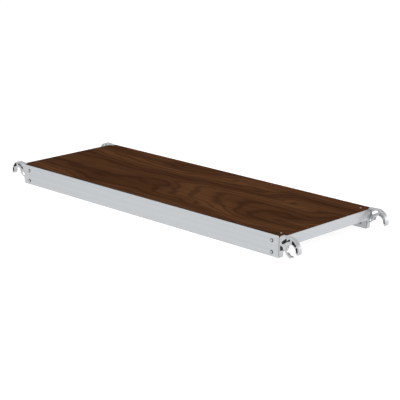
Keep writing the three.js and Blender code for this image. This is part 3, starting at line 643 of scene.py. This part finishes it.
# painted shade: the colour round the bolt heads' rims
RIM_PAINTED_SHADE = (0.035, 0.038, 0.042)
DECK_LIGHT = (0.098, 0.0415, 0.0175)
DECK_DEEP = (0.050, 0.0200, 0.0088)
DECK_LATE = (0.022, 0.0090, 0.0046)
DECK_PORE = (0.016, 0.0055, 0.0025)
DECK_FLECK = (0.165, 0.078, 0.038)
PLY_LOW, PLY_HIGH = (0.012, 0.006, 0.004), (0.028, 0.015, 0.010)
PITH_SIDE = 0.045  # the deck's figure, metres
PITH_RUN, PITH_DEPTHS = (-0.12, 0.90), (0.190, 0.020)
KNOT_AT, KNOT_SIZE, KNOT_REACH, KNOT_HUMP = (-0.11, -0.06), (0.085, 0.034), 1.6, 0.035
RING_PITCH, BROAD_PITCH, PLY_PITCH = 0.025, 0.125, 0.0028
LATE_SHARE, BROAD_SHARE = 0.50, 0.55
FLOOR_LOW, FLOOR_HIGH, FLOOR_GLOW = (0.30, 0.30, 0.30), (0.32, 0.32, 0.32), 0.92


class Finish:
    """A node material under construction, with short calls for the nodes that these finishes share."""

    def __init__(self, name):
        self.material = bpy.data.materials.new(name)
        self.material.use_nodes = True
        self.tree = self.material.node_tree
        self.shader = self.tree.nodes["Principled BSDF"]
        self.place = self.node("ShaderNodeTexCoord").outputs["Object"]

    def node(self, kind, **settings):
        made = self.tree.nodes.new(kind)
        for key, value in settings.items():
            setattr(made, key, value)
        return made

    def link(self, source, target):
        self.tree.links.new(source, target)

    def stretch(self, scale, turn=(0, 0, 0), shift=(0, 0, 0)):
        """Object coordinates scaled, turned and shifted."""
        mapping = self.node("ShaderNodeMapping")
        mapping.inputs["Scale"].default_value = scale
        mapping.inputs["Rotation"].default_value = turn
        mapping.inputs["Location"].default_value = shift
        self.link(self.place, mapping.inputs["Vector"])
        return mapping.outputs["Vector"]

    def noise(self, vector, scale=1.0, detail=4.0, roughness=0.5, distortion=0.0):
        noise = self.node("ShaderNodeTexNoise")
        noise.inputs["Scale"].default_value = scale
        noise.inputs["Detail"].default_value = detail
        noise.inputs["Roughness"].default_value = roughness
        noise.inputs["Distortion"].default_value = distortion
        self.link(vector, noise.inputs["Vector"])
        return noise.outputs["Fac"]

    def math(self, operation, first, second=0.0):
        made = self.node("ShaderNodeMath", operation=operation)
        for socket, value in zip(made.inputs, (first, second)):
            if isinstance(value, (int, float)):
                socket.default_value = value
            else:
                self.link(value, socket)
        return made.outputs[0]

    def span(self, value, low, high, to_low=0.0, to_high=1.0):
        """A value carried from one range to another, clamped."""
        made = self.node("ShaderNodeMapRange")
        for key, number in zip(("From Min", "From Max", "To Min", "To Max"), (low, high, to_low, to_high)):
            made.inputs[key].default_value = number
        self.link(value, made.inputs["Value"])
        return made.outputs["Result"]

    def swing(self, noise, amount):
        """A noise carried to plus or minus an amount."""
        return self.span(noise, *NOISE_RANGE, -amount, amount)

    def hypotenuse(self, first, second):
        squares = [self.math("MULTIPLY", value, value) for value in (first, second)]
        return self.math("SQRT", self.math("ADD", *squares))

    def blend(self, share, first, second):
        """Two colours mixed by a share; each is a colour or an output."""
        made = self.node("ShaderNodeMix", data_type="RGBA")
        self.link(share, made.inputs[0])
        for socket, value in ((made.inputs[6], first), (made.inputs[7], second)):
            if isinstance(value, tuple):
                socket.default_value = (*value, 1.0)
            else:
                self.link(value, socket)
        return made.outputs[2]

    def bump(self, height, distance, strength=1.0, under=None):
        made = self.node("ShaderNodeBump")
        made.inputs["Distance"].default_value = distance
        made.inputs["Strength"].default_value = strength
        self.link(height, made.inputs["Height"])
        if under is not None:
            self.link(under, made.inputs["Normal"])
        return made.outputs["Normal"]

    def done(self, colour, roughness, normal, metallic=0.0, specular=0.5):
        self.link(colour, self.shader.inputs["Base Color"])
        self.link(roughness, self.shader.inputs["Roughness"])
        self.link(normal, self.shader.inputs["Normal"])
        self.shader.inputs["Metallic"].default_value = metallic
        self.shader.inputs["Specular IOR Level"].default_value = specular
        return self.material


def extruded_aluminium(name, along):
    """Mill-finish extrusion: fine die lines along its run, cloudy roughness, faint handling scratches."""
    finish = Finish(name)
    lines_scale = {"x": (1.2, 420, 420), "y": (420, 1.2, 420)}[along]
    bands_scale = {"x": (0.35, 70, 70), "y": (70, 0.35, 70)}[along]
    lines = finish.noise(finish.stretch(lines_scale), detail=5.0, roughness=0.6)
    bands = finish.noise(finish.stretch(bands_scale), detail=2.0)
    clouds = finish.noise(finish.place, scale=7.0, detail=5.0, roughness=0.6)
    tilted = finish.stretch((9, 60, 60), turn=(0, 0.5, 0.4))
    scuff = finish.noise(tilted, scale=6.0, detail=6.0, roughness=0.75)
    scratch = finish.span(scuff, low=0.66, high=0.72)
    tone = finish.math("ADD", finish.swing(bands, 0.5), finish.swing(clouds, 0.5))
    colour = finish.blend(finish.span(tone, low=-0.8, high=0.8), EXTRUSION_LOW, EXTRUSION_HIGH)
    colour = finish.blend(finish.math("MULTIPLY", scratch, SCRATCH_SHARE), colour, SCRATCH)
    rough = finish.span(clouds, *NOISE_RANGE, to_low=0.40, to_high=0.52)
    rough = finish.math("ADD", rough, finish.swing(lines, 0.04))
    normal = finish.bump(lines, distance=0.00004, strength=0.5)
    normal = finish.bump(scratch, distance=0.00003, strength=0.4, under=normal)
    return finish.done(colour, rough, normal, metallic=0.75, specular=0.5)


def cast_aluminium(name):
    """As-cast and fettled aluminium: pebbled skin, cloudy tone, and painted shade in the pockets, windows
    and slot."""
    finish = Finish(name)
    pebble = finish.noise(finish.place, scale=1300.0, detail=3.0, roughness=0.6)
    coarse = finish.noise(finish.place, scale=260.0, roughness=0.6)
    clouds = finish.noise(finish.place, scale=34.0, detail=5.0, roughness=0.6)
    # painted shade: the amount read from each point's recess attribute, given a ragged edge by noise
    depth = finish.node("ShaderNodeAttribute", attribute_name="recess").outputs["Fac"]
    ragged = finish.math("ADD", depth, finish.swing(coarse, 0.12))
    colour = finish.blend(finish.span(clouds, *NOISE_RANGE), CAST_LOW, CAST_HIGH)
    colour = finish.blend(finish.span(ragged, low=0.30, high=0.85), colour, POCKET_PAINTED_SHADE)
    rough = finish.span(coarse, *NOISE_RANGE, to_low=0.42, to_high=0.60)
    normal = finish.bump(pebble, distance=0.00006, strength=0.5)
    normal = finish.bump(coarse, distance=0.00012, strength=0.5, under=normal)
    return finish.done(colour, rough, normal, metallic=0.55, specular=0.5)


def plated_steel(name, low, high, roughness):
    """Zinc-plated or plain steel: fine turning marks and a mottled plate, with painted shade where a piece
    carries a recess attribute.
    """
    finish = Finish(name)
    mottle = finish.noise(finish.place, scale=420.0, roughness=0.6)
    marks = finish.noise(finish.stretch((900, 3500, 900)), detail=3.0, roughness=0.6)
    colour = finish.blend(finish.span(mottle, *NOISE_RANGE), low, high)
    # painted shade from the recess attribute, which only the bolt heads carry, round their rims
    painted_shade = finish.node("ShaderNodeAttribute", attribute_name="recess").outputs["Fac"]
    colour = finish.blend(painted_shade, colour, RIM_PAINTED_SHADE)
    rough = finish.span(mottle, *NOISE_RANGE, to_low=roughness - 0.05, to_high=roughness + 0.08)
    normal = finish.bump(marks, distance=0.00003, strength=0.4)
    return finish.done(colour, rough, normal, metallic=0.85)


def deck_plywood(name):
    """Dark film-faced plywood. A ring's number is the distance from the pith of the log that the face was
    cut from: the square root of side squared plus depth squared. The depth is even at the left, which gives
    lengthwise streaks, and falls away to the right, which gives arches that open to the right. Slow noise
    sways the rings, a small hump makes a knot's nested swirls, and fine fibres run along x."""
    finish = Finish(name)
    parts = finish.node("ShaderNodeSeparateXYZ")
    finish.link(finish.place, parts.inputs[0])
    along, across, up = parts.outputs
    slow = finish.stretch((1.3, 3.6, 1.0), shift=(0.7, 0.3, 0.0))
    sway = finish.noise(slow, detail=2.0, distortion=0.3)
    ripple = finish.noise(finish.stretch((3.4, 15.0, 1.0)), distortion=0.4)
    side = finish.math("ADD", finish.math("ADD", across, PITH_SIDE),
                       finish.span(sway, low=0.2, high=0.8, to_low=-0.11, to_high=0.11))
    ring = finish.hypotenuse(side, finish.span(along, *PITH_RUN, *PITH_DEPTHS))
    knot = finish.hypotenuse(*(finish.math("MULTIPLY", finish.math("ADD", place, -middle), 1 / size)
                               for place, middle, size in zip((along, across), KNOT_AT, KNOT_SIZE)))
    hump = finish.span(knot, low=0.0, high=KNOT_REACH, to_low=KNOT_HUMP, to_high=0.0)
    ring = finish.math("ADD", ring, hump)
    ring = finish.math("ADD", ring, finish.span(ripple, low=0.2, high=0.8, to_low=-0.007, to_high=0.007))
    wave = finish.math("SINE", finish.math("MULTIPLY", ring, 2 * math.pi / RING_PITCH))
    broad = finish.math("SINE", finish.math("MULTIPLY", ring, 2 * math.pi / BROAD_PITCH))
    late = finish.span(wave, low=0.1, high=1.0)
    fibre = finish.noise(finish.stretch((9, 620, 60)), detail=5.0, roughness=0.65)
    streak = finish.noise(finish.stretch((1.6, 42, 20)), detail=5.0, roughness=0.62, distortion=0.3)
    clouds = finish.noise(finish.place, scale=3.2, roughness=0.55)
    tone = finish.math("ADD", finish.swing(clouds, 0.3), finish.math("MULTIPLY", broad, BROAD_SHARE))
    colour = finish.blend(finish.span(tone, low=-0.8, high=0.8), DECK_DEEP, DECK_LIGHT)
    colour = finish.blend(finish.math("MULTIPLY", late, LATE_SHARE), colour, DECK_LATE)
    colour = finish.blend(finish.span(streak, low=0.50, high=0.70, to_high=0.45), colour, DECK_LATE)
    colour = finish.blend(finish.span(fibre, low=0.50, high=0.72, to_high=0.45), colour, DECK_PORE)
    colour = finish.blend(finish.span(fibre, low=0.44, high=0.28, to_high=0.25), colour, DECK_FLECK)
    facing = finish.node("ShaderNodeSeparateXYZ")
    finish.link(finish.node("ShaderNodeNewGeometry").outputs["Normal"], facing.inputs[0])
    sealed = finish.span(finish.math("ABSOLUTE", facing.outputs[2]), low=0.75, high=0.35)
    plies = finish.math("SINE", finish.math("MULTIPLY", up, 2 * math.pi / PLY_PITCH))
    edge_colour = finish.blend(finish.span(plies, low=-1.0, high=1.0), PLY_LOW, PLY_HIGH)
    colour = finish.blend(sealed, colour, edge_colour)
    rough = finish.span(clouds, *NOISE_RANGE, to_low=0.50, to_high=0.62)
    rough = finish.math("ADD", rough, finish.swing(fibre, 0.05))
    normal = finish.bump(fibre, distance=0.00008, strength=0.5)
    normal = finish.bump(late, distance=0.00010, strength=0.25, under=normal)
    return finish.done(colour, rough, normal, specular=0.0)


def studio_floor(name):
    """A pale floor that glows a little, so that contact shadows stay faint."""
    finish = Finish(name)
    clouds = finish.noise(finish.place, scale=0.8, detail=2.0)
    colour = finish.blend(finish.span(clouds, *NOISE_RANGE), FLOOR_LOW, FLOOR_HIGH)
    rough = finish.span(clouds, *NOISE_RANGE, to_low=0.85, to_high=0.9)
    material = finish.done(colour, rough, finish.bump(clouds, distance=0.0001, strength=0.1), specular=0.1)
    finish.shader.inputs["Emission Color"].default_value = (1.0, 1.0, 1.0, 1.0)
    finish.shader.inputs["Emission Strength"].default_value = FLOOR_GLOW
    return material


ZINC_LOW, ZINC_HIGH = (0.42, 0.43, 0.44), (0.56, 0.57, 0.58)
BRIGHT_LOW, BRIGHT_HIGH = (0.78, 0.72, 0.70), (0.88, 0.84, 0.82)
PRESSED_LOW, PRESSED_HIGH = (0.44, 0.45, 0.455), (0.56, 0.565, 0.57)
SPRING_LOW, SPRING_HIGH = (0.12, 0.12, 0.13), (0.20, 0.20, 0.21)
RIVET_LOW, RIVET_HIGH = (0.50, 0.52, 0.53), (0.62, 0.63, 0.64)
FINISHES = {
    "extrusion_x": extruded_aluminium("extruded_aluminium_lengthwise", "x"),
    "extrusion_y": extruded_aluminium("extruded_aluminium_crosswise", "y"),
    "casting": cast_aluminium("cast_aluminium"),
    "plywood": deck_plywood("dark_plywood"),
    "zinc": plated_steel("zinc_plated_steel", ZINC_LOW, ZINC_HIGH, roughness=0.32),
    "bright_zinc": plated_steel("bright_zinc_screws", BRIGHT_LOW, BRIGHT_HIGH, roughness=0.38),
    "pressed": plated_steel("pressed_steel", PRESSED_LOW, PRESSED_HIGH, roughness=0.40),
    "spring": plated_steel("spring_steel", SPRING_LOW, SPRING_HIGH, roughness=0.35),
    "rivet": plated_steel("rivet_aluminium", RIVET_LOW, RIVET_HIGH, roughness=0.40),
}


# ------------------------------------------------------------------ pieces


MERGE, FLAT_ANGLE = 0.02, 1.0  # below which corners and faces of a CAD copy are made one
BEVEL_ANGLE, BEVEL_SEGMENTS = 35, 2
FRAME_CRISP_ANGLE = 25
DECK_EDGE, STRINGER_EDGE, BEAM_EDGE = 0.7, 0.45, 0.4  # widths of the broken edges
CORNERS = [(end, side) for end in (1, -1) for side in (-1, 1)]
PAWL_CORNERS = [(1, -1), (-1, 1)]


def dress(piece, finish, slot_name, body, *nodes):
    """Gives a piece its finish and body, and lets it stand for CAD nodes. Its slot name is not used."""
    piece.data.materials.clear()
    piece.data.materials.append(FINISHES[finish])
    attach(piece, body)
    if nodes:
        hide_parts(*nodes)
    return piece


def softened(node, finish, slot_name, width):
    """A copy of a CAD node with its facets merged into flat faces and every edge broken by a bevel."""
    piece = bpy.data.objects.new(f"{node}_skin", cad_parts[node].data.copy())
    bpy.context.scene.collection.objects.link(piece)
    cage = bmesh.new()
    cage.from_mesh(piece.data)
    bmesh.ops.remove_doubles(cage, verts=cage.verts, dist=MERGE * MM)
    bmesh.ops.dissolve_limit(cage, angle_limit=math.radians(FLAT_ANGLE), verts=cage.verts, edges=cage.edges)
    bmesh.ops.recalc_face_normals(cage, faces=cage.faces)
    cage.to_mesh(piece.data)
    cage.free()
    bevel = piece.modifiers.new("broken_edges", "BEVEL")
    bevel.width = width * MM
    bevel.segments = BEVEL_SEGMENTS
    bevel.limit_method = "ANGLE"
    bevel.angle_limit = math.radians(BEVEL_ANGLE)
    bevel.harden_normals = False
    piece.data.polygons.foreach_set("use_smooth", np.full(len(piece.data.polygons), True))
    sharpen(piece, FRAME_CRISP_ANGLE)
    return dress(piece, finish, slot_name, "platform", node)


def add_frame():
    softened("deck_panel", "plywood", "plywood", DECK_EDGE)
    for node in ("stringer_front", "stringer_back"):
        softened(node, "extrusion_x", "mill_aluminium", STRINGER_EDGE)
    for node in ("end_beam_left", "end_beam_right", "cross_bearer_1", "cross_bearer_2", "cross_bearer_3"):
        softened(node, "extrusion_y", "mill_aluminium", BEAM_EDGE)


def corner_label(end, side):
    return f"{'front' if side < 0 else 'back'}_{'right' if end > 0 else 'left'}"


def add_claws():
    """A casting at each corner, turned half round at the left end. The front ones get stronger painted shade
    in their hollows.
    """
    castings = {pawl: claw_parts(pawl) for pawl in (True, False)}
    for end, side in CORNERS:
        points, faces, recess = castings[end * side < 0]
        # painted shade in the hollows, scaled for a front or back corner, stored as the recess attribute
        recess = recess * (FRONT_PAINTED_SHADE if side < 0 else BACK_PAINTED_SHADE)
        label = corner_label(end, side)
        placed = move(points, end < 0, end * STRINGER_END, side * STRINGER_MIDDLE, 0)
        piece = make_piece(f"claw_casting_{label}", placed, faces)
        shade = piece.data.attributes.new("recess", "FLOAT", "POINT")
        shade.data.foreach_set("value", recess.astype(np.float32))
        dress(piece, "casting", "cast_aluminium", "platform", f"claw_{label}")


def add_pawls():
    """A pawl with its pin and spring at two opposite corners."""
    for end, side in PAWL_CORNERS:
        label = corner_label(end, side)
        spin = end < 0
        at_end = (end * STRINGER_END, side * STRINGER_MIDDLE, 0)
        points, faces = pawl_parts()
        pawl = make_piece(f"pawl_finger_{label}", move(points, spin, *at_end), faces)
        dress(pawl, "pressed", "pressed_steel", f"pawl_{label}", f"pawl_{label}")
        at_pivot = (end * (STRINGER_END + PIVOT_U), side * STRINGER_MIDDLE, PIVOT_Z)
        points, faces = pin_parts()
        pin = weld(make_piece(f"pivot_pin_{label}", move(points, spin, *at_pivot), faces))
        dress(sharpen(pin), "pressed", "pressed_steel", "platform", f"pawl_pin_{label}")
        points, faces = spring_parts()
        points = points + np.array([0, -(SLOT_HALF - CONTACT_GAP - SPRING_HALF), 0])
        spring = weld(make_piece(f"torsion_spring_{label}", move(points, spin, *at_pivot), faces))
        dress(spring, "spring", "spring_steel", "platform", f"pawl_spring_{label}")


def add_fasteners():
    """Bolts and nuts through each stringer end, rivets in the tabs, screws in the deck's right corners."""
    for end, side in CORNERS:
        label = corner_label(end, side)
        for place, height in zip(("lower", "upper"), BOLT_HEIGHTS):
            x = end * (STRINGER_END - BOLT_SETBACK)
            points, faces = bolt_parts()
            points = move(points, side > 0, x, side * SIDE, height)
            bolt = weld(make_piece(f"domed_bolt_{place}_{label}", points, faces))
            shade_rim(bolt, x, side * SIDE, height)
            dress(sharpen(bolt), "zinc", "zinc_steel", "platform", f"claw_bolt_{place}_{label}")
            points, faces = nut_parts()
            y = side * (INNER_SIDE - CONTACT_GAP - NUT_HEIGHT / 2)
            nut = weld(make_piece(f"hex_nut_{place}_{label}", move(points, False, x, y, height), faces))
            dress(sharpen(nut), "zinc", "zinc_steel", "platform", f"claw_nut_{place}_{label}")
        x = end * (STRINGER_END - RIVET_SETBACK)
        y = side * (INNER_SIDE - CONTACT_GAP - BEAM_WALL)
        grip = BEAM_WALL + CONTACT_GAP + STRINGER_WALL
        for place, height in zip(("lower", "upper"), rivet_heights()):
            add_rivet(f"beam_rivet_{place}_{label}", grip, side, (x, y, height))
        if end > 0:
            add_screw(f"deck_screw_{label}")
    for index in (1, 2, 3):
        low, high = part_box(f"cross_bearer_{index}")
        middle = (low + high) / 2 / MM
        for side in (-1, 1):
            name = f"bearer_rivet_{index}_{'front' if side < 0 else 'back'}"
            at = (middle.x, side * (INNER_SIDE - CONTACT_GAP - BEARER_WALL), middle.z)
            add_rivet(name, BEARER_WALL + CONTACT_GAP + STRINGER_WALL, side, at)


def shade_rim(bolt, x, y, z):
    """Painted shade round a bolt head's rim, standing in for the shadow where it meets the stringer: full
    over the outer quarter of the dome, and gone by about half its radius.
    """
    spots = np.empty(len(bolt.data.vertices) * 3, np.float32)
    bolt.data.vertices.foreach_get("co", spots)
    spots = spots.reshape(-1, 3) / MM - np.array([x, y, z])
    reach = np.hypot(spots[:, 0], spots[:, 2])
    outside = np.abs(spots[:, 1]) < HEAD_DEPTH
    shade = ramp(reach, HEAD_SHADE_START, HEAD_SHADE_RUN) * outside
    rim = bolt.data.attributes.new("recess", "FLOAT", "POINT")
    rim.data.foreach_set("value", shade.astype(np.float32))


def add_rivet(node, grip, side, at):
    points, faces = rivet_parts(grip)
    rivet = weld(make_piece(f"{node}_formed", move(points, side < 0, *at), faces))
    dress(sharpen(rivet), "rivet", "rivet_aluminium", "platform", node)


def add_screw(node):
    low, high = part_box(node)
    middle = (low + high) / 2 / MM
    points, faces = screw_parts()
    screw = weld(make_piece(f"{node}_cross", move(points, False, middle.x, middle.y, DECK_TOP), faces))
    dress(sharpen(screw), "bright_zinc", "zinc_steel", "platform", node)


# ------------------------------------------------------------------ stage


FLOOR_HALF, FLOOR_DROP = 40.0, 0.0005  # metres
LIGHT_AIM = Vector((0.0, 0.0, 0.05))
WORLD_COLOUR, WORLD_STRENGTH = (0.97, 0.985, 1.0, 1.0), 0.38
CAMERA_AZIMUTH, CAMERA_ELEVATION = math.radians(44.984), math.radians(15.777)
CAMERA_TARGET, CAMERA_DISTANCE = Vector((0.0888, 0.0, 0.0359)), 5.78783
CAMERA_LENS, CAMERA_SENSOR, CAMERA_FAR = 112.9, 36.0, 200.0


def add_floor():
    corners = np.array([[-1, -1, 0], [1, -1, 0], [1, 1, 0], [-1, 1, 0]]) * FLOOR_HALF
    corners[:, 2] = -FLOOR_DROP
    floor = make_piece("studio_floor", corners / MM, np.array([[0, 1, 2, 3]]), smooth=False)
    floor.data.materials.append(studio_floor("pale_floor"))


def add_light(name, direction, distance, size, power):
    lamp = bpy.data.lights.new(name, "AREA")
    lamp.shape = "DISK"
    lamp.size = size
    lamp.energy = power
    holder = bpy.data.objects.new(name, lamp)
    bpy.context.scene.collection.objects.link(holder)
    towards = Vector(direction).normalized()
    holder.location = LIGHT_AIM + towards * distance
    holder.rotation_euler = towards.to_track_quat("Z", "Y").to_euler()


def add_camera():
    """An unrolled camera on the front right corner's diagonal, looking down at the deck."""
    level = math.cos(CAMERA_ELEVATION)
    back = Vector((math.sin(CAMERA_AZIMUTH) * level, -math.cos(CAMERA_AZIMUTH) * level,
                   math.sin(CAMERA_ELEVATION)))
    lens = bpy.data.cameras.new("camera")
    lens.sensor_width = CAMERA_SENSOR
    lens.lens = CAMERA_LENS
    lens.clip_end = CAMERA_FAR
    camera = bpy.data.objects.new("camera", lens)
    bpy.context.scene.collection.objects.link(camera)
    camera.location = CAMERA_TARGET + back * CAMERA_DISTANCE
    camera.rotation_mode = "QUATERNION"
    camera.rotation_quaternion = (-back).to_track_quat("-Z", "Y")
    bpy.context.scene.camera = camera


def add_stage():
    add_floor()
    add_light("key_right_back", (0.70, 0.70, 0.17), distance=5.0, size=0.35, power=56.0)
    add_light("fill_front", (-0.25, -1.0, 0.22), distance=5.0, size=3.0, power=28.0)
    add_light("fill_top", (0.0, -0.1, 1.0), distance=4.0, size=3.0, power=125.0)
    world = bpy.data.worlds.new("studio")
    world.use_nodes = True
    world.node_tree.nodes["Background"].inputs["Color"].default_value = WORLD_COLOUR
    world.node_tree.nodes["Background"].inputs["Strength"].default_value = WORLD_STRENGTH
    bpy.context.scene.world = world
    bpy.context.scene.view_settings.view_transform = "Standard"
    add_camera()


add_frame()
add_claws()
add_pawls()
add_fasteners()
add_stage()

bpy.context.view_layer.update()
